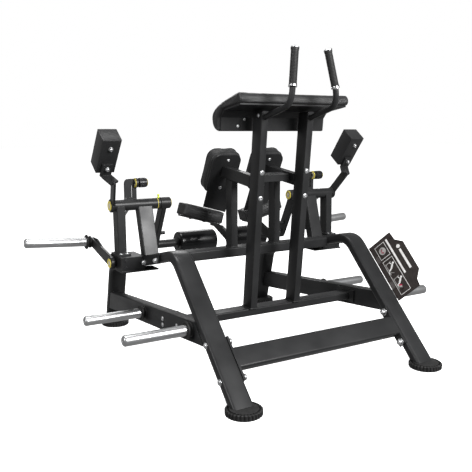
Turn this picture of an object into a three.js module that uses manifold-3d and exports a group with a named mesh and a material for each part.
// Plate-loaded kneeling leg curl with two independent working arms.
// Millimetres, +Z up, +X across the machine, -Y towards the front posts.
// The origin is on the floor, under the middle of the bounding box.
import * as THREE from 'three';
import { mergeVertices } from 'three/addons/utils/BufferGeometryUtils.js';
import Module from 'manifold-3d';

const wasm = await Module();
wasm.setup();

// ---------------------------------------------------------------- driving dimensions
const GAP = 0.4;                 // air between touching pieces
const BEVEL = 4;                 // broken edge of rolled tube

const FOOT = { radius: 80, height: 28, topRadius: 62 };
const RAIL = { x: 525, width: 100, thick: 50, corner: 14 };   // bent side frames
const LEG_FOOT_Y = -739;                                  // front leg at the floor, 45 degree lean
const BEND_FRONT = [-166, 573];
const BEND_REAR = [666, 370];
const REAR_LEG_END = [773, -60];                          // where the rear leg's line meets z = -60
const REAR_FOOT_Y = -LEG_FOOT_Y;
const SIDE_TUBE = { x: 545, width: 60, height: 100, zMid: 226, slope: -0.09 };

const FRONT_BAR = { y: -566, z: 170, width: 100, thick: 46 };
const MIDDLE_BAR = { y: -150, z: 242, depth: 80, height: 40 };
const UPPER_BAR = { y: 19, z: 524, depth: 80, height: 50 };

const POST_X = 134;
const FRONT_POST = { depth: 80, width: 40, lean: 0.096, footY: -161, top: 1242 };
const BACK_POST = { depth: 60, width: 40, y: 19 };
const ARM = { width: 40, height: 60, slope: 0.126, topZ: 958 };

const SEAT_LEAN = 0.52;          // thigh plate: rearward drift per mm of drop
const THIGH = { x: 135, y: 99.4, z: 923.8, width: 184, length: 244, thick: 70, plate: 8 };
const KNEE = { x: 194, y: 255, z: 704, width: 252, depth: 100, thick: 66, roll: 15.5 };

const PIVOT = { y: 242, z: 775 };
const LOWER_PIVOT = { y: 235, z: 482 };
const SELECTOR = { x: 572, z: 886 };
const SHAFT_R = 20;
const BEARING = { r: 29, inner: 446, outer: 696 };
const CRANK = { radius: 90, angle: -35, x: 618, thick: 14, pinEnd: 644 };
const ROLLER = { y: 365, z: 532, radius: 62, inner: 55, outer: 286 };
const SLEEVE_R = 25;
const STORE_SLEEVE = { length: 325, ys: [-365, 156], lift: 10 };
const WORK_SLEEVE = { y: 545, z: 548, from: 724, length: 350 };

const LEAN_BLOCK = { x: 757, y: 162, z: 1053, size: [95, 95, 198], angle: 37 };

// ---------------------------------------------------------------- materials
const paint = new THREE.MeshStandardMaterial({ color: 0x1d1e20, roughness: 0.5, metalness: 0.35 });
const vinyl = new THREE.MeshStandardMaterial({ color: 0x141415, roughness: 0.62, metalness: 0 });
const rubber = new THREE.MeshStandardMaterial({ color: 0x0f0f10, roughness: 0.85, metalness: 0 });
const steel = new THREE.MeshStandardMaterial({ color: 0xc4c6c8, roughness: 0.28, metalness: 1 });
const zinc = new THREE.MeshStandardMaterial({ color: 0xa9abae, roughness: 0.35, metalness: 1 });
const plastic = new THREE.MeshStandardMaterial({ color: 0x17171a, roughness: 0.5, metalness: 0 });
const panelFace = new THREE.MeshStandardMaterial({ color: 0x2a2422, roughness: 0.4, metalness: 0 });

const machine = new THREE.Group();
machine.name = 'kneeling_leg_curl';

function add(name, geometry, material) {
  const mesh = new THREE.Mesh(geometry, material);
  mesh.name = name;
  machine.add(mesh);
  return mesh;
}

// ---------------------------------------------------------------- solid helpers
const rad = THREE.MathUtils.degToRad;
const vec = (x, y, z) => new THREE.Vector3(x, y, z);

function toSolid(geometry) {
  const bare = geometry.clone();
  bare.deleteAttribute('normal');
  bare.deleteAttribute('uv');
  const merged = mergeVertices(bare, 1e-3);
  return new wasm.Manifold(new wasm.Mesh({
    numProp: 3,
    vertProperties: new Float32Array(merged.attributes.position.array),
    triVerts: new Uint32Array(merged.index.array),
  }));
}

function toGeometry(solid) {
  const mesh = solid.getMesh();
  const geometry = new THREE.BufferGeometry();
  geometry.setAttribute('position', new THREE.BufferAttribute(new Float32Array(mesh.vertProperties), 3));
  geometry.setIndex(new THREE.BufferAttribute(new Uint32Array(mesh.triVerts), 1));
  geometry.computeVertexNormals();
  return geometry;
}

function join(...geometries) {
  return toGeometry(geometries.map(toSolid).reduce((a, b) => a.add(b)));
}

function cut(geometry, ...tools) {
  return toGeometry(tools.map(toSolid).reduce((a, b) => a.subtract(b), toSolid(geometry)));
}

// A prism of a flat outline: u and v span the outline, and it grows along u x v.
function prism(points, origin, u, v, depth, bevel = 0, bevelSegments = 1) {
  const shape = points instanceof THREE.Shape ? points
    : new THREE.Shape(points.map(([a, b]) => new THREE.Vector2(a, b)));
  const geometry = new THREE.ExtrudeGeometry(shape, {
    depth: depth - 2 * bevel,
    curveSegments: 5,
    bevelEnabled: bevel > 0,
    bevelThickness: bevel,
    bevelSize: bevel,
    bevelOffset: -bevel,
    bevelSegments,
  });
  geometry.translate(0, 0, bevel);
  const w = u.clone().cross(v);
  geometry.applyMatrix4(new THREE.Matrix4().makeBasis(u, v, w).setPosition(origin));
  return geometry;
}

// An outline drawn in the YZ plane, grown across the machine from xa to xb.
function slab(points, xa, xb, bevel = 0, segments = 1) {
  const from = vec(Math.min(xa, xb), 0, 0);
  return prism(points, from, vec(0, 1, 0), vec(0, 0, 1), Math.abs(xb - xa), bevel, segments);
}

// A rectangular bar between two points, long edges rounded by corner; side points across its width.
function bar(a, b, width, height, side, corner = 0) {
  const along = b.clone().sub(a).normalize();
  const u = side.clone().addScaledVector(along, -side.dot(along)).normalize();
  const v = along.clone().cross(u);
  const section = corner > 0 ? roundedRectangle(width, height, corner) : rectangle(width, height);
  return prism(section, a, u, v, b.distanceTo(a));
}

function rectangle(width, height) {
  const [w, h] = [width / 2, height / 2];
  return [[-w, -h], [w, -h], [w, h], [-w, h]];
}

function box(xa, xb, ya, yb, za, zb, bevel = 0) {
  return slab([[ya, za], [yb, za], [yb, zb], [ya, zb]], xa, xb, bevel);
}

// A turned piece: profile is [distance along the axis, radius].
function turned(profile, origin, axis, sides = 24) {
  const outline = profile.map(([t, r]) => new THREE.Vector2(r, t));
  const geometry = new THREE.LatheGeometry(outline, sides);
  const turn = new THREE.Quaternion().setFromUnitVectors(vec(0, 1, 0), axis.clone().normalize());
  geometry.applyQuaternion(turn);
  geometry.translate(origin.x, origin.y, origin.z);
  return geometry;
}

function rod(origin, axis, from, to, radius, sides = 20) {
  return turned([[from, 0], [from, radius], [to, radius], [to, 0]], origin, axis, sides);
}

function roundedRectangle(width, height, radius) {
  const [w, h] = [width / 2, height / 2];
  const shape = new THREE.Shape();
  shape.moveTo(-w + radius, -h);
  shape.lineTo(w - radius, -h);
  shape.absarc(w - radius, -h + radius, radius, -Math.PI / 2, 0);
  shape.absarc(w - radius, h - radius, radius, 0, Math.PI / 2);
  shape.absarc(-w + radius, h - radius, radius, Math.PI / 2, Math.PI);
  shape.absarc(-w + radius, -h + radius, radius, Math.PI, 1.5 * Math.PI);
  return shape;
}

// The outline of a tube of one thickness that follows a bent centre line in the YZ plane.
function bentOutline(points, radii, thickness) {
  const line = [];
  points.forEach((p, i) => {
    if (i === 0 || i === points.length - 1) {
      line.push(new THREE.Vector2(...p));
      return;
    }
    const corner = new THREE.Vector2(...p);
    const back = new THREE.Vector2(...points[i - 1]).sub(corner).normalize();
    const ahead = new THREE.Vector2(...points[i + 1]).sub(corner).normalize();
    const half = Math.acos(back.dot(ahead)) / 2;
    const reach = radii[i] / Math.tan(half);
    const inward = back.clone().add(ahead).normalize();
    const centre = corner.clone().addScaledVector(inward, radii[i] / Math.sin(half));
    const start = corner.clone().addScaledVector(back, reach).sub(centre);
    const end = corner.clone().addScaledVector(ahead, reach).sub(centre);
    const sweep = start.angleTo(end) * Math.sign(start.cross(end));
    const steps = 8;
    for (let k = 0; k <= steps; k += 1) {
      line.push(start.clone().rotateAround(new THREE.Vector2(), sweep * k / steps).add(centre));
    }
  });
  const left = [];
  const right = [];
  line.forEach((p, i) => {
    const before = line[Math.max(i - 1, 0)];
    const after = line[Math.min(i + 1, line.length - 1)];
    const along = after.clone().sub(before).normalize();
    const across = new THREE.Vector2(-along.y, along.x).multiplyScalar(thickness / 2);
    left.push(p.clone().add(across));
    right.push(p.clone().sub(across));
  });
  return [...left, ...right.reverse()].map((p) => [p.x, p.y]);
}

// ---------------------------------------------------------------- lines that place the parts
const legY = (z) => LEG_FOOT_Y + z;                                       // front leg centre line
const beamSlope = (BEND_REAR[1] - BEND_FRONT[1]) / (BEND_REAR[0] - BEND_FRONT[0]);
const beamZ = (y) => BEND_FRONT[1] + beamSlope * (y - BEND_FRONT[0]);      // top beam centre line
const beamHalf = RAIL.thick / 2 * Math.hypot(1, beamSlope);                // half its upright thickness
const sideTubeZ = (y) => SIDE_TUBE.zMid + SIDE_TUBE.slope * y;
const postY = (z) => FRONT_POST.footY - FRONT_POST.lean * (z - 262);
const armTop = (y) => ARM.topZ + ARM.slope * y;
const thighY = (z) => THIGH.y - SEAT_LEAN * (z - THIGH.z);
const ACROSS = vec(1, 0, 0);
const RAIL_INNER = RAIL.x - RAIL.width / 2;

// ---------------------------------------------------------------- frame, one side
function sideFrame(s, label) {
  const path = [[legY(-60), -60], BEND_FRONT, BEND_REAR, REAR_LEG_END];
  const outline = bentOutline(path, [0, 110, 70, 0], RAIL.thick);
  const tube = slab(outline, s * RAIL_INNER, s * (RAIL_INNER + RAIL.width), RAIL.corner, 3);
  const below = box(-2000, 2000, -2000, 2000, -200, FOOT.height + GAP);
  add(`side_frame_${label}`, cut(tube, below), paint);
  add(`side_tube_${label}`, sideTube(s), paint);
  [['front', legY(0)], ['rear', REAR_FOOT_Y]].forEach(([end, y]) => {
    const profile = [[0, 0], [0, FOOT.radius - 4], [4, FOOT.radius], [20, FOOT.radius],
      [FOOT.height, FOOT.topRadius], [FOOT.height, 0]];
    add(`foot_${end}_${label}`, turned(profile, vec(s * RAIL.x, y, 0), vec(0, 0, 1), 28), rubber);
  });
}

// The straight tube between the front and rear legs, cut to their slopes.
function sideTube(s) {
  const legBack = (z) => legY(z) + RAIL.thick / Math.SQRT2 + 1;
  const rearLean = (BEND_REAR[0] - REAR_LEG_END[0]) / (BEND_REAR[1] - REAR_LEG_END[1]);
  const rearHalf = RAIL.thick / 2 * Math.hypot(1, rearLean) + 1;
  const rearFront = (z) => BEND_REAR[0] + rearLean * (z - BEND_REAR[1]) - rearHalf;
  const half = SIDE_TUBE.height / 2;
  const ends = (sign) => {
    let [yf, yr] = [-450, 680];
    for (let k = 0; k < 8; k += 1) {
      yf = legBack(sideTubeZ(yf) + sign * half);
      yr = rearFront(sideTubeZ(yr) + sign * half);
    }
    return [yf, yr].map((y) => [y, sideTubeZ(y) + sign * half]);
  };
  const [frontLow, rearLow] = ends(-1);
  const [frontHigh, rearHigh] = ends(1);
  const x = s * SIDE_TUBE.x;
  const corners = [frontLow, rearLow, rearHigh, frontHigh];
  return slab(corners, x - SIDE_TUBE.width / 2, x + SIDE_TUBE.width / 2, 7, 2);
}

function storageHorns(s, label) {
  const face = SIDE_TUBE.x + SIDE_TUBE.width / 2 + GAP;
  STORE_SLEEVE.ys.forEach((y, i) => {
    const start = vec(s * face, y, sideTubeZ(y) + STORE_SLEEVE.lift);
    const collar = [[0, 0], [0, 30], [10, 30], [20, 40], [28, 40], [28, 0]];
    const sleeve = [[20, 0], [20, SLEEVE_R], [STORE_SLEEVE.length - 6, SLEEVE_R],
      [STORE_SLEEVE.length, SLEEVE_R - 6], [STORE_SLEEVE.length, 0]];
    const solid = join(turned(collar, start, vec(s, 0, 0)), turned(sleeve, start, vec(s, 0, 0)));
    add(`storage_horn_${i ? 'rear' : 'front'}_${label}`, solid, steel);
  });
}

// ---------------------------------------------------------------- cross bars
function crossTube(size, reach, corner) {
  const centre = (x) => vec(x, size.y, size.z);
  return bar(centre(-reach), centre(reach), size.depth, size.height, vec(0, 1, 0), corner);
}

function crossBars() {
  const reach = RAIL_INNER - GAP;
  const tilt = vec(0, Math.SQRT1_2, Math.SQRT1_2);
  const bolts = (y, z) => [-1, 1].flatMap((s) => [-1, 1].map((k) => {
    const p = vec(s * (reach - 9), y + k * 62, z + k * 62);
    return rod(p, vec(-s, 0, 0), 0, 14, 14, 6);
  }));
  const centre = (x) => vec(x, FRONT_BAR.y, FRONT_BAR.z);
  const flange = (s) => bar(centre(s * reach), centre(s * (reach - 10)), 210, 48, tilt);
  const front = bar(centre(-reach), centre(reach), FRONT_BAR.width, FRONT_BAR.thick, tilt, 10);
  add('crossbar_front', join(front, flange(-1), flange(1), ...bolts(FRONT_BAR.y, FRONT_BAR.z)), paint);

  const inner = SIDE_TUBE.x - SIDE_TUBE.width / 2 - GAP;
  const middle = crossTube(MIDDLE_BAR, inner, 7);
  const plate = (s) => box(s * (inner - 10), s * inner, MIDDLE_BAR.y - 70, MIDDLE_BAR.y + 70,
    MIDDLE_BAR.z - 32, MIDDLE_BAR.z + 36);
  add('crossbar_middle', join(middle, plate(-1), plate(1)), paint);

  add('crossbar_upper', crossTube(UPPER_BAR, reach, 7), paint);
}

// ---------------------------------------------------------------- posts and pad arms
function posts(s, label) {
  const x0 = s * POST_X - FRONT_POST.width / 2;
  const x1 = s * POST_X + FRONT_POST.width / 2;
  const foot = MIDDLE_BAR.z + MIDDLE_BAR.height / 2 + GAP;
  const half = FRONT_POST.depth / 2;
  const outline = [[postY(foot) - half, foot], [postY(foot) + half, foot],
    [postY(FRONT_POST.top) + half, FRONT_POST.top], [postY(FRONT_POST.top) - half, FRONT_POST.top]];
  add(`front_post_${label}`, slab(outline, x0, x1, 7, 2), paint);

  const backHalf = BACK_POST.depth / 2;
  const base = UPPER_BAR.z + UPPER_BAR.height / 2 + GAP;
  const [ya, yb] = [BACK_POST.y - backHalf, BACK_POST.y + backHalf];
  const under = (y) => armTop(y) - ARM.height - GAP;
  const back = [[ya, base], [yb, base], [yb, under(yb)], [ya, under(ya)]];
  add(`back_post_${label}`, slab(back, x0, x1, BEVEL), paint);

  const corner = (edge, drop) => {
    let y = 0;
    for (let k = 0; k < 8; k += 1) y = edge(armTop(y) - drop);
    return [y, armTop(y) - drop];
  };
  const postBack = (z) => postY(z) + half + GAP;
  const plateFront = (z) => thighY(z) - 2 * GAP;
  const arm = [corner(postBack, ARM.height), corner(plateFront, ARM.height),
    corner(plateFront, 0), corner(postBack, 0)];
  add(`pad_arm_${label}`, slab(arm, x0, x1, 3), paint);
}

// ---------------------------------------------------------------- pads
function thighPad(s, label) {
  const down = vec(0, SEAT_LEAN, -1).normalize();
  const outward = down.clone().cross(ACROSS).multiplyScalar(-1);           // rearward and up
  const centre = vec(s * THIGH.x, THIGH.y, THIGH.z);
  const plateOutline = roundedRectangle(THIGH.width - 16, THIGH.length - 16, 42);
  const up = down.clone().negate();
  const at = (drop, rise) => centre.clone().addScaledVector(down, drop).addScaledVector(outward, rise);
  const plate = prism(plateOutline, at(0, THIGH.plate), ACROSS, up, THIGH.plate);
  const apron = bar(at(60, THIGH.plate / 2), at(250, THIGH.plate / 2), 146, THIGH.plate, ACROSS);
  const knee = kneeFrame(s);
  const ahead = knee.centre.clone().addScaledVector(knee.ahead, -200);
  const clearKnee = prism(rectangle(500, KNEE.thick + 6), ahead, knee.across, knee.up, 400);
  add(`thigh_plate_${label}`, cut(join(plate, apron), clearKnee), paint);
  const shape = roundedRectangle(THIGH.width, THIGH.length, 50);
  const cushion = prism(shape, at(0, THIGH.plate + GAP + THIGH.thick), ACROSS, up, THIGH.thick, 8);
  add(`thigh_pad_${label}`, cushion, vinyl);
}

// Axes of the knee pad, which dips towards the middle of the machine.
function kneeFrame(s) {
  const roll = rad(KNEE.roll) * s;
  const across = vec(Math.cos(roll), 0, Math.sin(roll));
  const up = vec(-Math.sin(roll), 0, Math.cos(roll));
  return { across, up, ahead: across.clone().cross(up), centre: vec(s * KNEE.x, KNEE.y, KNEE.z) };
}

function kneePad(s, label) {
  const knee = kneeFrame(s);
  const board = 8;
  const from = (point, reach) => point.clone().addScaledVector(knee.ahead, reach);
  const section = rectangle(KNEE.width, KNEE.thick);
  const cushion = prism(section, from(knee.centre, -KNEE.depth / 2), knee.across, knee.up, KNEE.depth, 8);
  add(`knee_pad_${label}`, cushion, vinyl);
  const under = knee.centre.clone().addScaledVector(knee.up, -KNEE.thick / 2 - board / 2 - GAP);
  const strip = rectangle(KNEE.width - 30, board);
  const plate = prism(strip, from(under, -KNEE.depth / 2 + 8), knee.across, knee.up, KNEE.depth - 16);
  const post = BACK_POST.y + BACK_POST.depth / 2 + GAP;
  const strut = slab([[post, 560], [post, 610], [255, 690], [255, 632], [215, 632]], s * 120, s * 134);
  const lifted = under.clone().addScaledVector(knee.up, 150);
  const above = prism(rectangle(600, 300), from(lifted, -300), knee.across, knee.up, 600);
  add(`knee_board_${label}`, join(plate, cut(strut, above)), paint);
}

// Chest and elbow rest: front lip high, rear face falling in one long curve.
const REST = { half: 320, plate: 8, inner: [[-160, 1147], [-166, 1214], [-200, 1252], [-358, 1276]] };

function armBridge() {
  const [ya, yb] = [-150, -80];
  const reach = POST_X - ARM.width / 2 - GAP;
  const high = (y) => armTop(y) - 10;
  const low = (y) => high(y) - 34;
  const outline = [[ya, low(ya)], [yb, low(yb)], [yb, high(yb)], [ya, high(ya)]];
  add('arm_bridge', slab(outline, -reach, reach, 3), paint);
}

function chestRest() {
  const outline = new THREE.Shape();
  const [foot, shoulder, neck, lip] = REST.inner;
  outline.moveTo(...foot);
  outline.lineTo(...shoulder);
  outline.lineTo(...neck);
  outline.lineTo(...lip);
  outline.quadraticCurveTo(-374, 1300, -352, 1320);
  outline.lineTo(-341, 1321);
  outline.bezierCurveTo(-270, 1310, -110, 1275, -97, 1222);
  outline.quadraticCurveTo(-96, 1160, -150, 1147);
  const profile = outline.getPoints(9).map((p) => [p.x, p.y]);
  add('chest_pad', slab(profile, -REST.half, REST.half, 6), vinyl);

  const near = (point, dy, dz) => [point[0] + dy, point[1] + dz];
  const far = GAP + REST.plate;
  const plate = [
    near(foot, -GAP, 4), near(shoulder, -GAP, 0), near(neck, 0, -GAP), near(lip, 10, -GAP - 2),
    near(lip, 10, -far - 2), near(neck, -4, -far), near(shoulder, -far, -2), near(foot, -far, 4),
  ];
  add('chest_pad_plate', slab(plate, -REST.half + 14, REST.half - 14), paint);
}

function handle(s, label) {
  const start = vec(s * POST_X, postY(1214) - FRONT_POST.depth / 2 - GAP, 1214);
  const elbow = vec(s * 130, -492, 1266);
  const gripFoot = vec(s * 122, -490, 1340);
  const gripTop = vec(s * 92, -463, 1520);
  const slant = start.clone().add(vec(0, -1, 0));
  const extrudePath = new THREE.CurvePath();
  const bendStart = elbow.clone().lerp(start, 0.22);
  const bendEnd = elbow.clone().lerp(gripFoot, 0.8);
  extrudePath.add(new THREE.LineCurve3(start, bendStart));
  extrudePath.add(new THREE.QuadraticBezierCurve3(bendStart, elbow, bendEnd));
  extrudePath.add(new THREE.LineCurve3(bendEnd, gripFoot));
  const section = new THREE.Shape().absarc(0, 0, 14, 0, 2 * Math.PI);
  const sweep = { steps: 14, curveSegments: 5, extrudePath, bevelEnabled: false };
  const tube = new THREE.ExtrudeGeometry(section, sweep);
  const behind = bar(slant.clone().add(vec(0, 1.1, 0)), slant.clone().add(vec(0, 60, 6)), 80, 80, ACROSS);
  add(`handle_tube_${label}`, cut(tube, behind), paint);
  const axis = gripTop.clone().sub(gripFoot).normalize();
  const length = gripTop.distanceTo(gripFoot);
  const grip = [[2, 0], [2, 20], [10, 20], [10, 17.5], [length - 10, 17.5], [length - 10, 20],
    [length, 20], [length, 0]];
  add(`grip_${label}`, turned(grip, gripFoot, axis), rubber);
}

// ---------------------------------------------------------------- working side
function pivotStand(s, label) {
  const leanPost = [[145, beamZ(145) + beamHalf + GAP], [197, beamZ(197) + beamHalf + GAP],
    [PIVOT.y + 26, PIVOT.z - 4], [PIVOT.y - 26, PIVOT.z - 4]];
  const inner = slab(leanPost, s * 495, s * 574, BEVEL);
  const upright = [[204, 529], [268, 529], [274, PIVOT.z - 4], [210, PIVOT.z - 4]];
  const outerPost = slab(upright, s * 646, s * 692, BEVEL);
  const footPlate = box(s * 634, s * 702, 180, 284, 522, 531);
  const centre = vec(0, PIVOT.y, PIVOT.z);
  const housing = rod(centre, vec(s, 0, 0), BEARING.inner, BEARING.outer, BEARING.r, 28);
  const bore = rod(centre, vec(s, 0, 0), 400, 760, SHAFT_R + 1, 28);
  const slot = box(...crankSlot(s), PIVOT.y - 5, PIVOT.y + 120, PIVOT.z - 120, PIVOT.z + 37);
  const knob = selector(s, label);
  const stand = cut(join(inner, outerPost, footPlate, housing, ...knob.bracket), bore, slot, knob.bore);
  add(`pivot_stand_${label}`, stand, paint);
}

// The width that a crank needs to swing, from one side to the other.
function crankSlot(s) {
  return [s * (CRANK.x - 10), s * (CRANK.x + 10)];
}

function lowerBracket(s, label) {
  const face = RAIL.x + RAIL.width / 2 + GAP;
  const outerPlate = box(s * 690, s * 700, 150, 290, 445, 521.5);
  const cheek = [[-50, beamZ(-50) - 30], [290, 440], [290, 500], [150, 521.5], [-50, beamZ(-50) + 18]];
  const sidePlate = slab(cheek, s * face, s * (face + 10));
  const front = box(s * face, s * 702, 142, 152, 445, 521.5);
  const top = box(s * face, s * 702, 142, 292, 513.5, 521.5);
  const bottom = box(s * 505, s * 702, 130, 215, 445, 452);
  const bolts = [-21, 126].map((y) => {
    const centre = vec(0, y, beamZ(y) - 12);
    return rod(centre, vec(s, 0, 0), face + 6, face + 20, 11, 6);
  });
  const under = (y) => beamZ(y) - beamHalf - GAP;
  const beam = [[60, beamZ(60)], [360, beamZ(360)], [360, under(360)], [60, under(60)]];
  const bore = rod(vec(0, LOWER_PIVOT.y, LOWER_PIVOT.z), vec(s, 0, 0), 560, 740, SHAFT_R, 28);
  const slot = box(...crankSlot(s), 240, 300, 505, 530);
  const plates = join(outerPlate, sidePlate, front, top, bottom, ...bolts);
  add(`lower_bracket_${label}`, cut(plates, bore, slot, slab(beam, s * 470, s * face)), paint);
}

function crank(s, pivot) {
  const [c, n] = [Math.cos(rad(CRANK.angle)), Math.sin(rad(CRANK.angle))];
  const tip = [pivot.y + CRANK.radius * c, pivot.z + CRANK.radius * n];
  const outline = new THREE.Shape();
  const tipAngle = rad(CRANK.angle);
  outline.absarc(pivot.y, pivot.z, 18, tipAngle + Math.PI / 2, tipAngle + 1.5 * Math.PI);
  outline.absarc(tip[0], tip[1], 17, tipAngle - Math.PI / 2, tipAngle + Math.PI / 2);
  const plate = slab(outline, s * (CRANK.x - CRANK.thick / 2), s * (CRANK.x + CRANK.thick / 2));
  const pin = rod(vec(0, tip[0], tip[1]), vec(s, 0, 0), CRANK.x - 2, CRANK.pinEnd, 9, 16);
  return { tip, solids: [plate, pin] };
}

function workingArm(s, label) {
  const centre = vec(0, PIVOT.y, PIVOT.z);
  const out = vec(s, 0, 0);
  const axle = vec(0, ROLLER.y, ROLLER.z);
  const reach = [ROLLER.y - PIVOT.y, ROLLER.z - PIVOT.z];
  const angle = Math.atan2(reach[1], reach[0]);
  const armOutline = new THREE.Shape();
  armOutline.absarc(PIVOT.y, PIVOT.z, 27, angle + Math.PI / 2, angle + 1.5 * Math.PI);
  armOutline.absarc(ROLLER.y, ROLLER.z, 26, angle - Math.PI / 2, angle + Math.PI / 2);
  const plate = slab(armOutline, s * 410, s * 436, 3);
  const hub = turned([[386, 0], [386, 27], [390, 31], [443, 31], [443, 0]], centre, out, 28);
  const axleTube = rod(axle, out, 302, 412, 23, 20);
  const spindle = rod(axle, out, ROLLER.inner + 2, 304, 12, 16);
  const pegPlace = vec(0, PIVOT.y, PIVOT.z).lerp(axle, 0.72);
  const peg = rod(pegPlace, out, 378, 412, 10, 14);
  add(`working_arm_${label}`, join(hub, plate, axleTube, spindle, peg), paint);

  const shaft = rod(centre, out, 443 + GAP, 697, SHAFT_R, 28);
  const link = crank(s, PIVOT);
  add(`arm_shaft_${label}`, join(shaft, ...link.solids), zinc);

  const { inner, outer, radius } = ROLLER;
  const roller = [[inner, 12.6], [inner, radius - 8], [inner + 8, radius],
    [outer - 8, radius], [outer, radius - 8], [outer, 12.6], [inner, 12.6]];
  add(`ankle_roller_${label}`, turned(roller, axle, out, 32), vinyl);
}

function counterweight(s, label) {
  const angle = rad(LEAN_BLOCK.angle);
  const up = vec(0, -Math.sin(angle), Math.cos(angle));
  const back = vec(0, Math.cos(angle), Math.sin(angle));
  const centre = vec(s * LEAN_BLOCK.x, LEAN_BLOCK.y, LEAN_BLOCK.z);
  const [width, depth, height] = LEAN_BLOCK.size;
  const rear = centre.clone().addScaledVector(back, depth / 2);
  const block = prism(rectangle(width, height), rear, ACROSS, up, depth, 5, 2);

  const face = centre.clone().addScaledVector(back, -depth / 2 - 6 - GAP);
  const elbow = vec(s * 732, 140, 902);
  const head = face.clone().addScaledVector(up, -38);
  const tail = face.clone().addScaledVector(up, -112);
  const root = vec(s * 703, PIVOT.y, PIVOT.z);
  const strip = bar(tail, head, 54, 12, ACROSS);
  const past = (from, to, extra) => to.clone().addScaledVector(to.clone().sub(from).normalize(), extra);
  const middle = bar(past(tail, elbow, 8), tail.clone().addScaledVector(up, 4), 50, 12, ACROSS);
  const neck = bar(root, past(root, elbow, 10), 48, 11, vec(0, 0.8, 0.5));
  const pivot = vec(0, PIVOT.y, PIVOT.z);
  const out = vec(s, 0, 0);
  const boss = rod(pivot, out, 697 + GAP, 709, 31, 28);
  const cap = turned([[706, 0], [706, 34], [715, 34], [719, 26], [719, 0]], pivot, out, 28);
  const bolt = (rise, sink) => {
    const place = face.clone().addScaledVector(up, rise).addScaledVector(back, sink);
    return rod(place, back.clone().negate(), 0, 12, 9, 6);
  };
  add(`counterweight_${label}`, join(block, bolt(50, 9)), paint);
  add(`counterweight_bar_${label}`, join(strip, middle, neck, boss, cap, bolt(-62, -5)), paint);
}

function hornLever(s, label) {
  const pivot = vec(0, LOWER_PIVOT.y, LOWER_PIVOT.z);
  const out = vec(s, 0, 0);
  const shaft = rod(pivot, out, 592, 712, SHAFT_R - 1, 28);
  const link = crank(s, LOWER_PIVOT);
  const leverX = [s * 705, s * 724];
  const line = [[LOWER_PIVOT.y, LOWER_PIVOT.z], [WORK_SLEEVE.y, WORK_SLEEVE.z]];
  const angle = Math.atan2(line[1][1] - line[0][1], line[1][0] - line[0][0]);
  const lever = new THREE.Shape();
  lever.absarc(...line[0], 30, angle + Math.PI / 2, angle + 1.5 * Math.PI);
  lever.absarc(...line[1], 24, angle - Math.PI / 2, angle + Math.PI / 2);
  const web = slab([[300, 505], [520, 545], [545, 573], [470, 573]], s * 706, s * 712);
  const cap = turned([[712, 0], [712, 33], [728, 33], [732, 25], [732, 0]], pivot, out, 28);
  add(`horn_lever_${label}`, join(shaft, ...link.solids, slab(lever, ...leverX, 3), web, cap), paint);
  const start = vec(s * (WORK_SLEEVE.from + GAP), WORK_SLEEVE.y, WORK_SLEEVE.z);
  const tilt = vec(s, 0, 0.06).normalize();
  const collar = [[0, 0], [0, 24], [4, 38], [12, 38], [16, 30], [16, 0]];
  const { from, length } = WORK_SLEEVE;
  const sleeve = [[12, 0], [12, SLEEVE_R], [length, SLEEVE_R], [length + 6, SLEEVE_R - 6], [length + 6, 0]];
  const beyond = box(s * 700, s * (from + GAP), 480, 610, 480, 610);
  const horn = join(turned(collar, start, tilt), turned(sleeve, start, tilt));
  add(`working_horn_${label}`, cut(horn, beyond), steel);
}

function linkRod(s, label) {
  const upper = crank(s, PIVOT).tip;
  const lower = crank(s, LOWER_PIVOT).tip;
  const [xa, xb] = [s * (CRANK.x + CRANK.thick / 2 + 2), s * (CRANK.pinEnd - 4)];
  const eye = (p) => rod(vec(0, ...p), vec(s, 0, 0), Math.abs(xa), Math.abs(xb), 17, 20);
  const hole = (p, r) => rod(vec(0, ...p), vec(s, 0, 0), 600, 700, r, 16);
  const body = bar(vec((xa + xb) / 2, ...upper), vec((xa + xb) / 2, ...lower), 12, 20, ACROSS);
  const link = join(body, eye(upper), eye(lower));
  add(`link_rod_${label}`, cut(link, hole(upper, 9.6), hole(lower, 10.5)), zinc);
}

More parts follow.
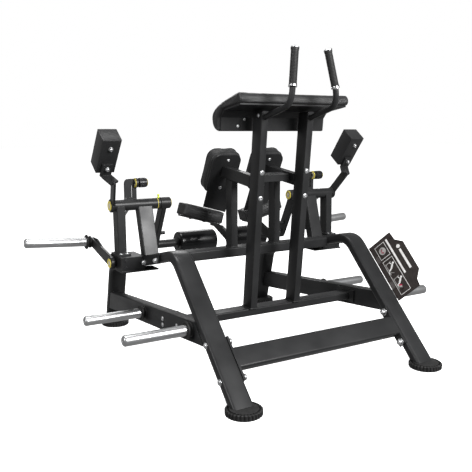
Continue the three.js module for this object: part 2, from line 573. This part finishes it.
// Start-position bracket over the bearing, with a sprung pull knob in it. Both sides face the same way.
function selector(s, label) {
  const centre = vec(s * SELECTOR.x, PIVOT.y + 4, SELECTOR.z);
  const [front, back] = [centre.y + 3, centre.y + 17];
  const base = PIVOT.z + BEARING.r - 13;
  const [low, high] = [centre.z - 14, centre.z + 21];
  const hook = new THREE.Shape();
  hook.moveTo(centre.x - 60, base);
  hook.lineTo(centre.x - 24, base);
  hook.lineTo(centre.x - 24, low);
  hook.lineTo(centre.x + 6, low);
  hook.lineTo(centre.x + 6, high);
  hook.lineTo(centre.x - 34, high);
  hook.quadraticCurveTo(centre.x - 60, high, centre.x - 60, high - 26);
  const outerLeg = prism(hook, vec(0, back, 0), ACROSS, vec(0, 0, 1), back - front);
  const innerLeg = box(centre.x - 17, centre.x + 4, front, back, base, centre.z);
  const lip = box(centre.x - 60, centre.x - 24, PIVOT.y - 11, PIVOT.y - 5.5, PIVOT.z + 22, PIVOT.z + 40);
  const boss = rod(centre, ACROSS, -6, 6, 25, 24);
  const stem = [[-7, 0], [-7, 8], [12, 8], [12, 20], [14, 24], [54, 24], [58, 20], [58, 0]];
  add(`pull_knob_${label}`, turned(stem, centre, ACROSS, 20), plastic);
  return { bracket: [outerLeg, innerLeg, lip, boss], bore: rod(centre, ACROSS, -12, 10, 8.5, 16) };
}

// ---------------------------------------------------------------- placard on one front leg
function placard() {
  const leg = vec(0, -Math.SQRT1_2, -Math.SQRT1_2);
  const outward = vec(0.31, -0.672, 0.672).normalize();
  const corner = vec(RAIL.x + RAIL.width / 2 + 8, -262, 520);
  const outline = [[0, -14], [338, -14], [338, 132], [300, 138], [262, 176], [88, 178], [50, 142], [0, 138]];
  const normal = leg.clone().cross(outward);
  const plate = prism(outline, corner.clone().addScaledVector(normal, -2), leg, outward, 4);
  const tab = (d) => {
    const place = corner.clone().addScaledVector(leg, d);
    return bar(place.clone().addScaledVector(outward, 12), place.clone().add(vec(-7.2, 6, -6)), 40, 5, leg);
  };
  add('placard', join(plate, tab(90), tab(250)), panelFace);
}

// ---------------------------------------------------------------- assembly
crossBars();
armBridge();
chestRest();
placard();
[[-1, 'left'], [1, 'right']].forEach(([s, label]) => {
  sideFrame(s, label);
  storageHorns(s, label);
  posts(s, label);
  thighPad(s, label);
  kneePad(s, label);
  handle(s, label);
  pivotStand(s, label);
  lowerBracket(s, label);
  workingArm(s, label);
  counterweight(s, label);
  hornLever(s, label);
  linkRod(s, label);
});

export default machine;
